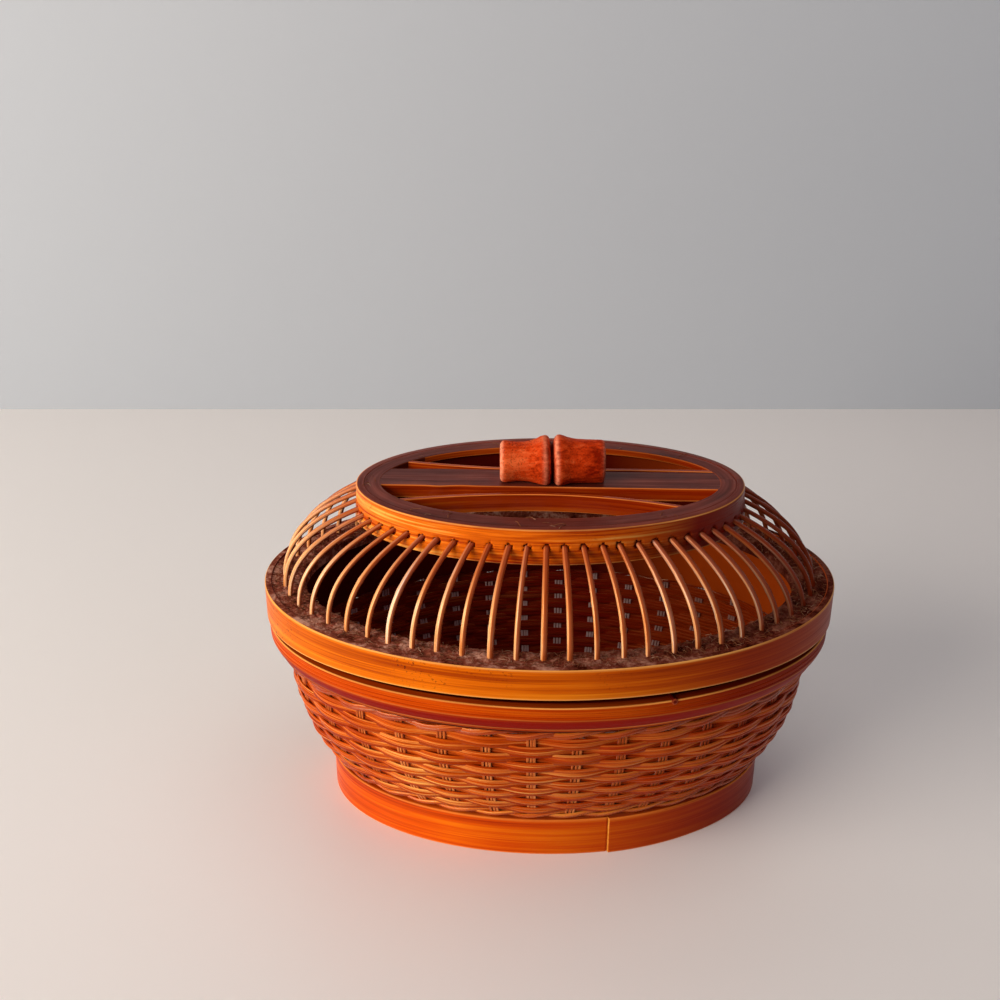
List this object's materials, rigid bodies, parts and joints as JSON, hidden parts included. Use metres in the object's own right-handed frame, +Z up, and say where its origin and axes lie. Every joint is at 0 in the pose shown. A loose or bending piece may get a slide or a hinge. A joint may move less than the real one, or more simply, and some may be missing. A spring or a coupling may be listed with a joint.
{
  "type": "lidded bamboo basket",
  "caption": "Oval woven bamboo basket on a hoop foot, with a thick rim and a lift-off cage lid of bent ribs under a top ring, slat and bamboo knob.",
  "frame": {"origin": "centre of the foot's oval on the surface it stands on", "axes": "+Z up, +X along the oval's long axis, -Y towards the front that the picture shows"},
  "size_m": [0.1992, 0.1382, 0.1359],
  "materials": {
    "foot_bamboo": "lacquered orange, fine lengthwise grain",
    "plain_bamboo": "plain split bamboo",
    "stake_bamboo": "split bamboo, light skin",
    "weaver_bamboo": "lacquered red-brown splints",
    "twine_bamboo": "lacquered orange-brown splints",
    "rim_bamboo": "lacquered orange, red-brown underneath",
    "lid_hoop_bamboo": "lacquered golden bamboo strip",
    "ledge_bamboo": "dark dusty matt bamboo",
    "rib_bamboo": "glossy lacquered bamboo",
    "band_bamboo": "lacquered golden bamboo strip",
    "ring_bamboo": "dark worn lacquer",
    "slat_bamboo": "dark worn lacquer",
    "knob_bamboo": "vermilion stained bamboo, slightly fibrous"
  },
  "bodies": {
    "bowl": {"foot_outer_hoop": "foot_bamboo", "foot_inner_hoop": "plain_bamboo", "cross_stake_01": "stake_bamboo", "cross_stake_02": "stake_bamboo", "cross_stake_03": "stake_bamboo", "cross_stake_04": "stake_bamboo", "cross_stake_05": "stake_bamboo", "cross_stake_06": "stake_bamboo", "cross_stake_07": "stake_bamboo", "cross_stake_08": "stake_bamboo", "cross_stake_09": "stake_bamboo", "cross_stake_10": "stake_bamboo", "long_stake_01": "stake_bamboo", "long_stake_02": "stake_bamboo", "long_stake_03": "stake_bamboo", "long_stake_04": "stake_bamboo", "long_stake_05": "stake_bamboo", "long_stake_06": "stake_bamboo", "lower_twine_a": "twine_bamboo", "lower_twine_b": "twine_bamboo", "weaver_row_01": "weaver_bamboo", "weaver_row_02": "weaver_bamboo", "weaver_row_03": "weaver_bamboo", "weaver_row_04": "weaver_bamboo", "weaver_row_05": "weaver_bamboo", "weaver_row_06": "weaver_bamboo", "weaver_row_07": "weaver_bamboo", "weaver_row_08": "weaver_bamboo", "weaver_row_09": "weaver_bamboo", "weaver_row_10": "weaver_bamboo", "weaver_row_11": "weaver_bamboo", "weaver_row_12": "weaver_bamboo", "upper_twine_a": "twine_bamboo", "upper_twine_b": "twine_bamboo", "rim_outer_hoop": "rim_bamboo", "rim_core_hoop": "plain_bamboo", "rim_peg": "plain_bamboo", "rim_collar": "plain_bamboo"},
    "lid": {"lid_hoop": "lid_hoop_bamboo", "lid_core_outer": "ledge_bamboo", "lid_core_inner": "ledge_bamboo", "rib_set_01": "rib_bamboo", "rib_set_02": "rib_bamboo", "rib_set_03": "rib_bamboo", "rib_set_04": "rib_bamboo", "rib_set_05": "rib_bamboo", "rib_set_06": "rib_bamboo", "rib_set_07": "rib_bamboo", "rib_set_08": "rib_bamboo", "rib_set_09": "rib_bamboo", "rib_set_10": "rib_bamboo", "rib_set_11": "rib_bamboo", "rib_set_12": "rib_bamboo", "top_ring_band": "band_bamboo", "top_ring_core": "ring_bamboo", "slat": "slat_bamboo", "front_brace": "slat_bamboo", "back_brace": "slat_bamboo", "knob": "knob_bamboo", "knob_peg": "plain_bamboo"}
  },
  "joints": [
    {"name": "lid_lift", "type": "slide", "parent": "bowl", "child": "lid", "axis": [0, 0, 1], "range_m": [0, 0.12]}
  ]
}
